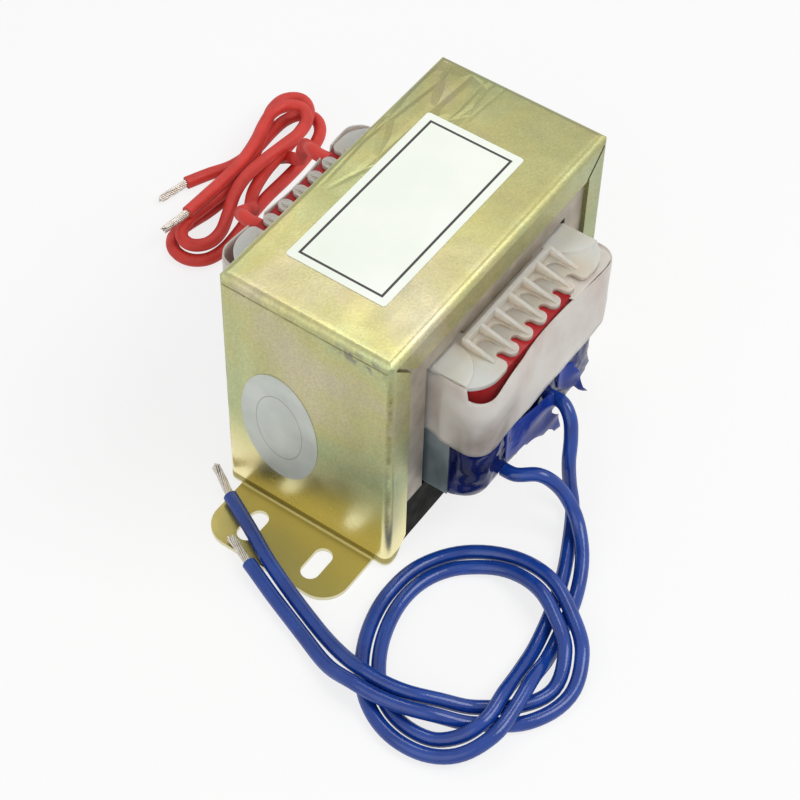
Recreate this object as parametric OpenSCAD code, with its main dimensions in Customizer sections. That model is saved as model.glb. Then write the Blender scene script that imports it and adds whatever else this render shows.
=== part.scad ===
// Chassis transformer: a stacked E and I core, a split coil former with two
// windings, and a steel channel bracket with slotted feet.
// Millimetres. The origin is the middle of the four foot slots on the plane
// that the feet stand on. X runs along the feet, Z is up, and the front of
// the coil looks towards -Y.

/* [Core] */
// Width of the laminations
core_w = 86; // [85:0.5:87]
// Thickness of the whole stack
stack_t = 45; // [43:1:47]
// Groups of sheets that face alternate ways
stack_groups = 9; // [3:2:15]

/* [Bracket] */
// Sheet thickness
sheet_t = 1.2; // [1:0.1:1.4]
// Overall height
bracket_h = 74.5; // [74.2:0.1:76]
// Depth of the lips along the top
top_lip = 8.6; // [7:0.1:10]
// Width of the lips down the sides
side_lip = 7.6; // [6:0.1:9]
// Inside radius of the folds
fold_r = 0.8; // [0.4:0.1:1.2]
// Gap left at the mitred lip corners
mitre_gap = 0.9; // [0.4:0.1:1.5]
// Reach of a foot from the side plate
foot_reach = 17.3; // [16.5:0.1:20]
// Width of a foot
foot_w = 39; // [36:0.5:41]
// Corner radius of a foot
foot_corner_r = 7; // [3:0.5:8]
// Slot length, end to end
slot_len = 9.8; // [8:0.1:10.5]
// Slot width
slot_w = 4.8; // [4:0.1:5.2]
// Distance between slot centres along X
slot_pitch_x = 106.5; // [106:0.1:107]
// Distance between slot centres along Y
slot_pitch_y = 19.1; // [18:0.1:20]

/* [Coil former] */
// Wall of the tube round the middle leg
tube_t = 1.2; // [1:0.1:1.6]
// Thickness of a flange
flange_t = 1.3; // [1:0.1:1.5]
// Height of the upper section
upper_h = 20.5; // [19.5:0.5:21.5]
// Half width of the top flange
flange_x = 27.3; // [27.1:0.1:27.6]
// Reach of the end pads of the top flange
pad_y = 36.3; // [36:0.1:36.6]
// Reach of the comb fingers
finger_y = 35.6; // [35.3:0.1:35.8]
// Number of lead slots in each comb
slot_count = 6; // [4:2:6]
// Distance between lead slots
comb_pitch = 5.82; // [5.6:0.01:5.9]
// Width of a lead slot
comb_gap = 2.3; // [2:0.1:2.6]
// Height of the comb's back wall above the flange
comb_h = 2.6; // [2:0.1:3]
// Radius of the raised corner pads
pad_r = 9.9; // [9:0.1:10.5]

/* [Windings] */
// Half width of the taped coils
coil_x = 27; // [26.9:0.05:27.1]
// Half length of the taped coils
coil_y = 35.9; // [35.7:0.05:36]
// Corner radius of the taped coils
coil_r = 6.5; // [6:0.5:8]
// Thickness of the tape layers
tape_t = 0.6; // [0.4:0.1:0.8]

/* [Film] */
// Thickness of the white outer wrap
wrap_t = 0.4; // [0.3:0.1:0.5]
// How far the wrap's top edge is drawn in at the middle
wrap_bow = 1.6; // [1:0.1:1.7]
// Thickness of the window liners
liner_t = 0.4; // [0.2:0.1:0.4]

/* [Leads] */
// Diameter over the insulation
lead_d = 3.5; // [3.3:0.1:3.5]
// Diameter of the bared strands
strand_d = 2.2; // [1.8:0.1:2.4]

/* [Labels] */
// Length of the label on the top
label_l = 56; // [50:1:60]
// Width of the label on the top
label_w = 27; // [24:1:29]
// Width of the oval sticker
sticker_w = 22; // [18:1:24]
// Height of the oval sticker
sticker_h = 36; // [30:1:38]
// Thickness of the labels
label_t = 0.15; // [0.1:0.05:0.2]

/* [Hidden] */
$fn = 48;
eps = 0.01;
far = 200;

// Core, from the proportions of an E and I set: six leg widths across
leg = core_w / 6;
window_h = core_w / 2;
e_h = window_h + leg;
core_h = e_h + leg;
bracket_l = core_w + 2 * sheet_t;
bracket_w = stack_t + 2 * sheet_t;
core_z = bracket_h - sheet_t - core_h;
window_z = core_z + leg;
group_t = stack_t / stack_groups;

// Coil former levels
former_play = 0.24;
former_z = window_z + former_play;
top_z = former_z + 41.7;
flange_z = top_z - flange_t;
middle_z = flange_z - upper_h - flange_t;
lower_z = former_z + flange_t;
tube_play = 0.2;
bore_x = leg + tube_play;
bore_y = stack_t / 2 + tube_play;
tube_x = bore_x + tube_t;
tube_y = bore_y + tube_t;
inner_x = coil_x - tape_t;
inner_y = coil_y - tape_t;
inner_r = coil_r - tape_t;

// Top flange outline
pad_edge_y = 31.9;
pad_arc_r = 8.4;
pad_arc_x = 19.9;
comb_end = comb_pitch * slot_count / 2;
finger_r = (comb_pitch - comb_gap) / 2;
slot_root_y = pad_edge_y;
comb_wall_y = stack_t / 2 + 2;
comb_wall_t = 1.1;
rib_t = 0.9;

// Folded corner of the bracket lips and the cut at their lower ends
chamfer_x = 4.2;
chamfer_z = 6;
ear_z = 0.6;
mitre_reach = sheet_t + 0.6;

// Corner pads and the ramps in the comb's floor
pad_h = 0.5;
ramp_y = 28.6;
ramp_r = 1.9;
ramp_depth = 0.6;
ramp_tilt = 7;

// White wrap: levels, reach at the corners and the places of its lead notches
wrap_top = flange_z - 0.1;
wrap_base = middle_z + flange_t;
wrap_x = coil_x + wrap_t;
wrap_bulge_x = wrap_x + 1.1;
wrap_y = 38.2;
wrap_r = 5;
lap_x = 10.5;
lap_t = 0.3;
lap_edge_y = 29;
notch_w = 4.6;
notch_z = 52;

// Lead exits: red ones at the back, blue ones at the front
red_exit_x = [15, -12.5];
splice_l = 9;
splice_d = 3;
splice_depth = 2;

red_splices = [[6.5, 54], [-13, 54]];
blue_splices = [[-3, 27], [-15.5, 19.8]];
liner_y = 28.8;

// Torn ends of the blue tape: flat on the coil, then lifted away from it
tail_t = 0.25;

// Routes of the leads, from the exit to the end of the insulation
red_route_1 = [[15, 35.9, 54.5], [15, 40.5, 54.5], [17.5, 44.5, 52], [22, 49, 46.5], [34, 59, 29],
    [39.5, 63.5, 20], [44.3, 68, 12.4], [48.2, 72.5, 6.8], [49.6, 76.8, 3.8]];
red_route_2 = [[-12.5, 35.9, 54.5], [-12.5, 40.5, 54.5], [-10.5, 43.7, 52.5], [-6, 46.7, 47.5],
    [0, 50, 41], [12, 58.5, 26], [18, 63.5, 18], [23, 68, 11.6], [27.8, 72, 7.4], [33.5, 75.2, 5.5]];
red_tail_1 = [[44, 87, 2], [39, 88.2, 2], [33.4, 91, 2], [27, 93.8, 2.1]];
red_strands_1 = [[27, 93.8, 2.1], [18.5, 96, 1.4]];
red_strands_2 = [[13.5, 82.2, 12], [5, 83.6, 12]];
blue_route_1 = [[5, -35.9, 26], [5, -39.5, 26], [3.5, -43, 24], [1.5, -45, 19.5], [-1, -46.5, 14],
    [-2, -48, 7.5], [-4, -50.5, 2.6], [-13, -55.3, 1.8], [-32, -62.5, 1.8],
    [-51, -65.9, 3.2], [-59.5, -66.8, 5.5], [-68, -67.3, 5.6], [-73.7, -64.4, 3.6],
    [-77.2, -58.5, 1.8], [-77.5, -51, 1.8], [-74.5, -44, 1.8], [-68.5, -38.5, 1.8], [-60, -34.3, 1.8],
    [-50, -32.4, 1.8], [-41, -34, 1.8], [-33.7, -39.3, 1.8], [-29.5, -48, 3], [-31, -58, 5.4],
    [-36.3, -66.5, 5.6], [-41.7, -72, 5], [-50, -74.5, 2], [-58, -70.6, 1.8],
    [-64.2, -62.8, 1.8], [-68.8, -55.5, 4.2], [-72.3, -48, 5.6], [-73.2, -37, 5.6], [-71.2, -29.5, 3.2],
    [-68, -20.5, 1.8], [-60.5, -1, 3.1], [-50.5, 18.5, 3.1]];
blue_strands_1 = [[-50.5, 18.5, 3.1], [-45, 27, 2.4]];
blue_route_2 = [[-14, -35.9, 17], [-14, -39.5, 17.5], [-11.5, -43.5, 18], [-9.5, -47.5, 15.7],
    [-8.5, -51.5, 10.5], [-10.5, -56, 6], [-17, -61.3, 3.4], [-26, -65.2, 1.8], [-35.5, -67.4, 1.8],
    [-44, -68.9, 2], [-52, -69.9, 5.2], [-61, -71, 5.6], [-70, -70.9, 5.2], [-77.8, -66.4, 3],
    [-81.5, -58.5, 1.8], [-81.3, -49.5, 1.8], [-77.2, -41.2, 1.8], [-69.5, -34.5, 1.8],
    [-60, -30.2, 1.8], [-50, -28.6, 1.8], [-39.5, -30.3, 1.8], [-30.2, -36.9, 2], [-25.5, -47.8, 3.4],
    [-27, -59, 5.5], [-33.2, -68.9, 5.6], [-39.8, -75.5, 4.8], [-49.5, -78.5, 2],
    [-60.5, -74.5, 1.8], [-67.7, -65.4, 1.8], [-73, -57, 4.8], [-76.2, -48.5, 5.6], [-77.1, -38.5, 5.6],
    [-75.6, -29.5, 2.8], [-67.5, -8, 1.8], [-63.3, 3, 2.6]];
blue_strands_2 = [[-63.3, 3, 2.6], [-59.8, 11, 2.5]];

// Outer shape of the folded red leads
hank_x = [15, 60];
hank_y = 80.5;
hank_r = 11;
hank_h = 10.8;

// ---------------------------------------------------------------- helpers

// Rectangle with half sizes hx and hy and true round corners
module rounded(hx, hy, r) {
    square([2 * hx, 2 * (hy - r)], center = true);
    square([2 * (hx - r), 2 * hy], center = true);
    for (sx = [-1, 1], sy = [-1, 1])
        translate([sx * (hx - r), sy * (hy - r)]) circle(r);
}

// Ring between two rounded rectangles, t thick in plan
module ring(hx, hy, r, t) {
    difference() {
        rounded(hx, hy, r);
        rounded(hx - t, hy - t, r - t);
    }
}

// Wound section: the outline of a coil less the tube that it is wound on
module wound(z, h) {
    translate([0, 0, z]) linear_extrude(h) difference() {
        rounded(inner_x, inner_y, inner_r);
        square([2 * tube_x, 2 * tube_y], center = true);
    }
}

function unit(v) = v / norm(v);
function tangent(p, i) = unit(p[min(i + 1, len(p) - 1)] - p[max(i - 1, 0)]);
// Side vectors carried along a route without twist
function sides(p, i, v) = i == len(p) ? [] :
    let (t = tangent(p, i), n = unit(v - (v * t) * t)) concat([n], sides(p, i + 1, n));
// All the points of a tube of n sides swept along a route
function tube_points(p, r, n) = let (s = sides(p, 0, [0.1, 0.2, 1]))
    [for (i = [0:len(p) - 1]) let (t = tangent(p, i), c = cross(t, s[i]))
        for (k = [0:n - 1]) p[i] + r * (cos(360 * k / n) * s[i] + sin(360 * k / n) * c)];
function tube_faces(rings, n) = concat(
    [[for (k = [0:n - 1]) k]],
    [for (i = [0:rings - 2]) for (k = [0:n - 1])
        [i * n + k, (i + 1) * n + k, (i + 1) * n + (k + 1) % n, i * n + (k + 1) % n]],
    [[for (k = [n - 1:-1:0]) (rings - 1) * n + k]]);

module lead(route) {
    polyhedron(tube_points(route, lead_d / 2, 8), tube_faces(len(route), 8));
}

// Bared strands: a straight round bundle between two points
module strands(ends) {
    run = ends[1] - ends[0];
    translate(ends[0])
        rotate([0, acos(run.z / norm(run)), atan2(run.y, run.x)])
        cylinder(h = norm(run), d = strand_d, $fn = 16);
}

// ---------------------------------------------------------------- bracket

// Block with folded-over edges: three rounded profiles crossing each other
module folded_block(hx, hy, h, r) {
    intersection() {
        rotate([90, 0, 0]) linear_extrude(2 * hy, center = true) hood(hx, h, r);
        rotate([90, 0, 90]) linear_extrude(2 * hx, center = true) hood(hy, h, r);
        linear_extrude(h) rounded(hx, hy, r);
    }
}

// Upright rectangle on its base with two round upper corners
module hood(half, h, r) {
    translate([-half, 0]) square([2 * half, h - r]);
    translate([r - half, 0]) square([2 * (half - r), h]);
    for (s = [-1, 1]) translate([s * (half - r), h - r]) circle(r);
}

module foot_slots() {
    for (sx = [-1, 1], sy = [-1, 1])
        translate([sx * slot_pitch_x / 2, sy * slot_pitch_y / 2, -1]) {
            for (e = [-1, 1])
                translate([e * (slot_len - slot_w) / 2, 0, 0]) cylinder(h = 5, d = slot_w);
            translate([-(slot_len - slot_w) / 2, -slot_w / 2, 0])
                cube([slot_len - slot_w, slot_w, 5]);
        }
}

// Foot with its fold, on the +X side
module foot() {
    side_x = bracket_l / 2;
    out_r = fold_r + sheet_t;
    intersection() {
        rotate([90, 0, 0]) linear_extrude(foot_w, center = true) {
            translate([side_x + fold_r, 0]) square([foot_reach - fold_r, sheet_t]);
            difference() {
                translate([side_x + fold_r, out_r]) circle(out_r);
                translate([side_x + fold_r, out_r]) circle(fold_r);
                translate([side_x + fold_r, -1]) square([4, 8]);
                translate([side_x - 4, out_r]) square([8, 4]);
            }
        }
        linear_extrude(out_r + 1) {
            translate([side_x - sheet_t - 1, -foot_w / 2])
                square([foot_reach + sheet_t + 1 - foot_corner_r, foot_w]);
            translate([side_x, foot_corner_r - foot_w / 2])
                square([foot_reach, foot_w - 2 * foot_corner_r]);
            for (s = [-1, 1])
                translate([side_x + foot_reach - foot_corner_r, s * (foot_w / 2 - foot_corner_r)])
                circle(foot_corner_r);
        }
    }
}

module bracket() {
    out_r = fold_r + sheet_t;
    half_l = bracket_l / 2;
    half_w = bracket_w / 2;
    open_x = half_l - side_lip;
    open_z = bracket_h - top_lip;
    color("#b3a858") difference() {
        union() {
            difference() {
                folded_block(half_l, half_w, bracket_h, out_r);
                translate([0, 0, -1])
                    folded_block(half_l - sheet_t, half_w - sheet_t, bracket_h - sheet_t + 1, fold_r);
                // Open front and back between the lips
                translate([-open_x, -far / 2, -1]) cube([2 * open_x, far, open_z + 1]);
                for (m = [0, 1]) mirror([m, 0, 0]) {
                    // Gap at the mitred corner of the lips
                    for (f = [-1, 1])
                        translate([half_l - out_r, f * half_w, bracket_h - out_r])
                        rotate([0, -45, 0])
                        translate([-15, -mitre_reach, -mitre_gap / 2])
                        cube([15, 2 * mitre_reach, mitre_gap]);
                    // Cut corner at the lower end of the side lips
                    translate([open_x, 0, 0]) rotate([90, 0, 0])
                        linear_extrude(far, center = true)
                        polygon([[-1, -1], [chamfer_x, -1], [chamfer_x, ear_z], [0, chamfer_z],
                                 [-1, chamfer_z]]);
                    // The side plate stops short of the ground beside the foot and at its fold
                    translate([open_x, -far / 2, -1]) cube([20, far, 1 + ear_z]);
                    translate([half_l - sheet_t - 1, -foot_w / 2, -1]) cube([4, foot_w, 1 + out_r]);
                }
            }
            for (m = [0, 1]) mirror([m, 0, 0]) foot();
        }
        foot_slots();
    }
}

// ---------------------------------------------------------------- core

// Where group k of the stack starts along Y
function group_y(k) = k * group_t - stack_t / 2;

// E outline with the ends of its legs on the base line
module e_outline() {
    difference() {
        translate([-core_w / 2, 0]) square([core_w, e_h]);
        for (s = [-1, 1])
            translate([(s * 3 - 1) * leg / 2, -1]) square([leg, window_h + 1]);
    }
}

// E sheets stand legs down in even groups and legs up in odd ones
module e_laminations() {
    color("#6b6459") for (k = [0:stack_groups - 1])
        translate([0, group_y(k) + group_t, 0]) rotate([90, 0, 0]) linear_extrude(group_t)
            translate([0, k % 2 == 0 ? core_z + leg : core_z + e_h])
            mirror([0, k % 2]) e_outline();
}

// The bars close the open ends of the E sheets
module i_laminations() {
    color("#2e2b28") for (k = [0:stack_groups - 1])
        translate([-core_w / 2, group_y(k), k % 2 == 0 ? core_z : core_z + e_h])
        cube([core_w, group_t, leg]);
}

// ---------------------------------------------------------------- coil former

// Front half of the top flange: end pads with round corners and a comb of fingers
module comb_outline() {
    difference() {
        union() {
            translate([-flange_x, -pad_edge_y]) square([2 * flange_x, pad_edge_y]);
            translate([-comb_end, finger_r - finger_y]) square([2 * comb_end, finger_y - finger_r]);
            // Round tips of the fingers
            for (k = [1:slot_count - 1])
                translate([k * comb_pitch - comb_end, finger_r - finger_y]) circle(finger_r);
            for (m = [0, 1]) mirror([m, 0]) {
                // Wide arc at the outer corner of the pad
                intersection() {
                    translate([pad_arc_x, pad_arc_r - pad_y]) circle(pad_arc_r);
                    translate([0, -pad_y]) square([flange_x, pad_y]);
                }
                translate([comb_end, -pad_y]) square([pad_arc_x - comb_end, pad_y]);
                // Small arc beside the first slot
                translate([comb_end, finger_r - pad_y]) circle(finger_r);
                translate([comb_end - finger_r, finger_r - pad_y]) square([finger_r, pad_r]);
            }
        }
        // Lead slots with round closed ends
        for (k = [0:slot_count - 1])
            translate([(k + 0.5) * comb_pitch - comb_end, -slot_root_y - comb_gap / 2]) {
                circle(comb_gap / 2);
                translate([-comb_gap / 2, -pad_y]) square([comb_gap, pad_y]);
            }
    }
}

// Back wall and sloping ribs that stand on the comb, and the corner pads
module comb_relief() {
    half_l = comb_end + rib_t / 2;
    translate([-half_l, -comb_wall_y - comb_wall_t, top_z]) cube([2 * half_l, comb_wall_t, comb_h]);
    for (k = [0:slot_count])
        let (reach = k == 0 || k == slot_count ? finger_y - 2.4 : finger_y - 0.6)
        translate([k * comb_pitch - comb_end - rib_t / 2, 0, 0])
        rotate([90, 0, 90]) linear_extrude(rib_t)
            polygon([[-reach, top_z - 0.5], [-reach, top_z + 0.2], [-comb_wall_y - 1, top_z + comb_h],
                     [-comb_wall_y, top_z + comb_h], [-comb_wall_y, top_z - 0.5]]);
    for (m = [0, 1]) mirror([m, 0, 0])
        intersection() {
            translate([-flange_x, -stack_t / 2 - 0.3, top_z - 0.5])
                cylinder(h = pad_h + 0.5, r1 = pad_r, r2 = pad_r - 0.6);
            translate([-flange_x, -pad_edge_y - 2, top_z - 0.5])
                cube([pad_r, pad_edge_y + 2 - stack_t / 2 - 0.3, pad_h + 0.5]);
        }
}

// Ramps sunk in the floor of the comb, one behind each slot
module comb_ramps() {
    for (k = [0:slot_count - 1])
        translate([(k + 0.5) * comb_pitch - comb_end, -ramp_y, top_z - ramp_depth])
            rotate([-ramp_tilt, 0, 0]) {
                cylinder(h = 4, r = ramp_r);
                translate([-ramp_r, -6, 0]) cube([2 * ramp_r, 6, 4]);
            }
}

module coil_former() {
    color("#e6e0da") difference() {
        union() {
            translate([-tube_x, -tube_y, former_z]) cube([2 * tube_x, 2 * tube_y, top_z - former_z]);
            for (z = [former_z, middle_z])
                translate([0, 0, z]) linear_extrude(flange_t) rounded(inner_x, inner_y, inner_r);
            for (m = [0, 1]) mirror([0, m, 0]) {
                translate([0, 0, flange_z]) linear_extrude(flange_t) comb_outline();
                comb_relief();
            }
        }
        translate([-bore_x, -bore_y, -1]) cube([2 * bore_x, 2 * bore_y, far]);
        for (m = [0, 1]) mirror([0, m, 0]) comb_ramps();
    }
}

// ---------------------------------------------------------------- windings

// Sleeves over the joints of lead and winding, just under the tape
module splices(places, side) {
    for (p = places)
        translate([p.x, side * (inner_y - splice_depth), p.y])
            rotate([0, 90, 0]) cylinder(h = splice_l, d = splice_d);
}

module primary_winding() {
    color("#a2552c") difference() {
        wound(wrap_base, upper_h - lap_t);
        splices(red_splices, 1);
    }
}

module primary_splices() {
    color("#222222") splices(red_splices, 1);
}

// Where the white wrap covers the tape at the front right corner
module lap_zone() {
    translate([lap_x, -far, 0]) cube([far, far - lap_edge_y, far]);
}

// Red tape round the upper coil, folded over on to its top at both ends
module primary_tape() {
    color("#b3282c") difference() {
        union() {
            translate([0, 0, wrap_base]) linear_extrude(upper_h) ring(coil_x, coil_y, coil_r, tape_t);
            translate([0, 0, flange_z - lap_t]) linear_extrude(lap_t) difference() {
                rounded(coil_x - eps, coil_y - eps, coil_r);
                square([3 * coil_x, 2 * lap_edge_y], center = true);
            }
        }
        translate([0, 0, flange_z - lap_t]) lap_zone();
    }
}

module secondary_winding() {
    color("#a2552c") difference() {
        wound(lower_z, middle_z - lower_z);
        splices(blue_splices, -1);
    }
}

module secondary_splices() {
    color("#222222") splices(blue_splices, -1);
}

// Blue tape round the lower coil and over the edges of its two flanges
module secondary_tape() {
    color("#16237a") translate([0, 0, former_z])
        linear_extrude(wrap_base - former_z - 0.15) ring(coil_x, coil_y, coil_r, tape_t);
}

// Torn end of tape: an outline in the XZ plane on a sheet bent in plan
module tape_tail(plan, outline) {
    intersection() {
        linear_extrude(far) polygon(plan);
        rotate([90, 0, 0]) linear_extrude(far) polygon(outline);
    }
}

module tape_tail_upper() {
    color("#1c2f95") tape_tail(
        [[7, -coil_y], [9.5, -coil_y], [19, -39.5], [19, -39.5 - tail_t],
         [9.4, -coil_y - tail_t], [7, -coil_y - tail_t]],
        [[7.3, 29], [8.2, 25.5], [18.7, 17.3], [12.5, 33.5], [7.3, 34.5]]);
}

module tape_tail_lower() {
    color("#1c2f95") tape_tail(
        [[-17, -coil_y], [-13, -coil_y], [8, -38.4], [8, -38.4 - tail_t],
         [-13, -coil_y - tail_t], [-17, -coil_y - tail_t]],
        [[-15.5, 33], [-14.5, 20.6], [-4, 19.5], [7.3, 13.6], [5.6, 20.5], [2.6, 23.5], [2.4, 31.5]]);
}

// ---------------------------------------------------------------- films

// Front right quarter of the wrap in plan, off inside its outer face, u of the way up
function wrap_quarter(off, u) = concat(
    [[wrap_x - off, stack_t / 2 + 0.5]],
    [for (a = [0:15:90])
        [wrap_bulge_x - wrap_r + (wrap_r - off) * cos(a), wrap_y - wrap_r + (wrap_r - off) * sin(a)]],
    [for (i = [5:-1:0]) let (c = cos(15 * i))
        [(wrap_bulge_x - wrap_r) * i / 6, wrap_y - off - wrap_bow * u * u * c * c]]);

// The whole loop, anticlockwise from the middle of the front
function wrap_loop(off, u) = let (q = wrap_quarter(off, u), n = len(q)) concat(
    [for (i = [n - 1:-1:0]) [q[i].x, -q[i].y]],
    [for (i = [0:n - 1]) q[i]],
    [for (i = [n - 2:-1:0]) [-q[i].x, q[i].y]],
    [for (i = [0:n - 2]) -q[i]]);

// Shell between an outer and an inner loop over rows of heights
module wrap_shell() {
    rows = 4;
    n = len(wrap_loop(0, 0));
    h = wrap_top - wrap_base;
    points = [for (off = [0, wrap_t], r = [0:rows], p = wrap_loop(off, r / rows))
        [p.x, p.y, wrap_base + h * r / rows]];
    // Corner k of row r on the outer (side 0) or inner (side 1) face
    function at(side, r, k) = (side * (rows + 1) + r) * n + k % n;
    function quad(a, b, c, d) = [[a, b, c], [a, c, d]];
    faces = [for (k = [0:n - 1], q = concat(
        [for (r = [0:rows - 1],
              t = quad(at(0, r, k), at(0, r + 1, k), at(0, r + 1, k + 1), at(0, r, k + 1))) t],
        [for (r = [0:rows - 1],
              t = quad(at(1, r, k), at(1, r, k + 1), at(1, r + 1, k + 1), at(1, r + 1, k))) t],
        quad(at(0, 0, k), at(0, 0, k + 1), at(1, 0, k + 1), at(1, 0, k)),
        quad(at(0, rows, k), at(1, rows, k), at(1, rows, k + 1), at(0, rows, k + 1)))) q];
    polyhedron(points, faces);
}

// White film wrapped once round the upper coil, with its first end folded over
module coil_wrap() {
    color("#e4ddd8") difference() {
        union() {
            wrap_shell();
            intersection() {
                union() {
                    translate([0, 0, wrap_base]) linear_extrude(upper_h)
                        ring(coil_x + lap_t, coil_y + lap_t, coil_r + lap_t, lap_t);
                    translate([0, 0, flange_z - lap_t]) linear_extrude(lap_t)
                        rounded(coil_x + lap_t, coil_y + lap_t, coil_r + lap_t);
                }
                union() {
                    translate([0, 0, flange_z - lap_t]) lap_zone();
                    translate([lap_x, -far, 0]) cube([far, far - 21, flange_z]);
                }
            }
        }
        // Notches that let the red leads out at the back
        for (x = red_exit_x)
            translate([x, 30, notch_z + notch_w / 2]) {
                rotate([-90, 0, 0]) cylinder(h = 20, d = notch_w);
                translate([-notch_w / 2, 0, 0]) cube([notch_w, 20, 20]);
            }
    }
}

// Film between a coil and an outer leg, standing out at both ends
module liner(side) {
    x = side * (coil_x + liner_t / 2);
    translate([x - liner_t / 2, -liner_y, window_z])
        cube([liner_t, 2 * liner_y, wrap_base - window_z - 0.1]);
}

module liner_left() {
    color("#5c6b73") liner(-1);
}

module liner_right() {
    color("#5c6b73") liner(1);
}

// ---------------------------------------------------------------- labels

module rating_label() {
    color("#f4f9ee") translate([-2.7, 1.3, bracket_h])
        linear_extrude(label_t) rounded(label_l / 2, label_w / 2, 0.8);
}

module oval_sticker() {
    color("#c0c4c4") translate([-bracket_l / 2, 7.5, 31.5]) rotate([90, 0, -90])
        linear_extrude(label_t)
        polygon([for (a = [0:7.5:359]) [sticker_w / 2 * cos(a), sticker_h / 2 * sin(a)]]);
}

// ---------------------------------------------------------------- leads

module hank_shape() {
    linear_extrude(hank_h) {
        for (x = hank_x) translate([x, hank_y]) circle(hank_r);
        translate([hank_x[0], hank_y - hank_r]) square([hank_x[1] - hank_x[0], 2 * hank_r]);
    }
}

module red_hank() {
    color("#d8363a") hank_shape();
}

// A red lead up to where it joins the hank
module red_lead(route) {
    color("#d8363a") difference() {
        lead(route);
        hank_shape();
    }
}

module red_lead_1() {
    red_lead(red_route_1);
}

module red_lead_2() {
    red_lead(red_route_2);
}

module red_lead_1_tail() {
    red_lead(red_tail_1);
}

module red_lead_1_strands() {
    color("#9a9590") strands(red_strands_1);
}

module red_lead_2_strands() {
    color("#9a9590") strands(red_strands_2);
}

module blue_lead_1() {
    color("#1b348c") lead(blue_route_1);
}

module blue_lead_2() {
    color("#1b348c") lead(blue_route_2);
}

module blue_lead_1_strands() {
    color("#9a9590") strands(blue_strands_1);
}

module blue_lead_2_strands() {
    color("#9a9590") strands(blue_strands_2);
}

bracket();
e_laminations();
i_laminations();
coil_former();
primary_winding();
primary_tape();
primary_splices();
coil_wrap();
secondary_winding();
secondary_tape();
secondary_splices();
liner_left();
liner_right();
tape_tail_upper();
tape_tail_lower();
rating_label();
oval_sticker();
red_lead_1();
red_lead_2();
red_hank();
red_lead_1_tail();
red_lead_1_strands();
red_lead_2_strands();
blue_lead_1();
blue_lead_2();
blue_lead_1_strands();
blue_lead_2_strands();
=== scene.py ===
"""Laminated chassis transformer: leads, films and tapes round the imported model, and finishes."""
import math
import random

import bmesh
import bpy
from mathutils import Matrix, Vector, noise


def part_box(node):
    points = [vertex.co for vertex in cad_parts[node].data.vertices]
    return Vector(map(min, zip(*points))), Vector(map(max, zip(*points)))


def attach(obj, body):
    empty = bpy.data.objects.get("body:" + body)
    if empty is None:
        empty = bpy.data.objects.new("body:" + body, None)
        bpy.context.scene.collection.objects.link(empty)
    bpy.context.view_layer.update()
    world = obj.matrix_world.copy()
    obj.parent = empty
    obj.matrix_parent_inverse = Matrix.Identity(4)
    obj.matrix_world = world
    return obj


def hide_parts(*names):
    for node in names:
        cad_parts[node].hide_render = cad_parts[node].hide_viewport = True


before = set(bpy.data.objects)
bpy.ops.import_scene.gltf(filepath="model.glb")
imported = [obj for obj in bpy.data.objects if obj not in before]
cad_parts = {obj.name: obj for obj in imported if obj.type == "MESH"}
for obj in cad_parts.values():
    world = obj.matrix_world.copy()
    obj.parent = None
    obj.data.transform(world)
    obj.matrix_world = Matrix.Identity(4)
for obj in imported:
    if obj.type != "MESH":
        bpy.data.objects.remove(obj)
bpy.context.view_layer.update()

MM = 0.001
scene = bpy.context.scene
scene.view_settings.view_transform = "Standard"


# ---------------------------------------------------------------- camera

def place_camera(azimuth, elevation, roll, location, lens):
    """A camera looking down at the object; the angles are in degrees, the place in metres."""
    az, el, tilt = (math.radians(a) for a in (azimuth, elevation, roll))
    back = Vector((math.sin(az) * math.cos(el), -math.cos(az) * math.cos(el), math.sin(el)))
    level = Vector((math.cos(az), math.sin(az), 0))
    over = back.cross(level)
    right = level * math.cos(tilt) + over * math.sin(tilt)
    up = over * math.cos(tilt) - level * math.sin(tilt)
    data = bpy.data.cameras.new("camera")
    data.lens = lens
    data.sensor_width = 36
    data.clip_start = 0.01
    camera = bpy.data.objects.new("camera", data)
    turn = Matrix((right, up, back)).transposed().to_4x4()
    camera.matrix_world = Matrix.Translation(location) @ turn
    scene.collection.objects.link(camera)
    scene.camera = camera


place_camera(azimuth=-56.341, elevation=51.095, roll=1.767,
             location=(-0.2913, -0.1905, 0.4340), lens=98.94)


# ---------------------------------------------------------------- leads

# Outer width of the insulation and width of one bare wire, in millimetres
LEAD, STRAND = 3.5, 0.42
# Turn of the wires over the bare length, in radians
STRAND_TWIST = 1.5

# Centre lines in millimetres, from the exit to the end of the insulation
BLUE_1 = [
    (5, -35.9, 26), (5, -39.5, 26), (3.5, -43, 24), (1.5, -45, 19.5), (-1, -46.5, 14),
    (-2, -48, 7.5), (-4, -50.5, 2.6), (-13, -55.3, 1.8), (-22.5, -59.5, 1.8), (-32, -62.5, 1.8),
    (-42, -64.7, 1.8), (-51, -65.9, 3.2), (-59.5, -66.8, 5.5), (-68, -67.3, 5.6),
    (-73.7, -64.4, 3.6), (-77.2, -58.5, 1.8), (-77.5, -51, 1.8), (-74.5, -44, 1.8),
    (-68.5, -38.5, 1.8), (-60, -34.3, 1.8), (-50, -32.4, 1.8), (-41, -34, 1.8),
    (-33.7, -39.3, 1.8), (-29.5, -48, 3), (-31, -58, 5.4), (-36.3, -66.5, 5.6),
    (-41.7, -72, 5), (-50, -74.5, 2), (-58, -70.6, 1.8), (-64.2, -62.8, 1.8),
    (-68.8, -55.5, 4.2), (-72.3, -48, 5.6), (-73.2, -37, 5.6), (-71.2, -29.5, 3.2),
    (-68, -20.5, 1.8), (-64.5, -11, 2.2), (-60.5, -1, 3.1), (-55.5, 8.5, 3.1),
    (-50.5, 18.5, 3.1)]
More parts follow.
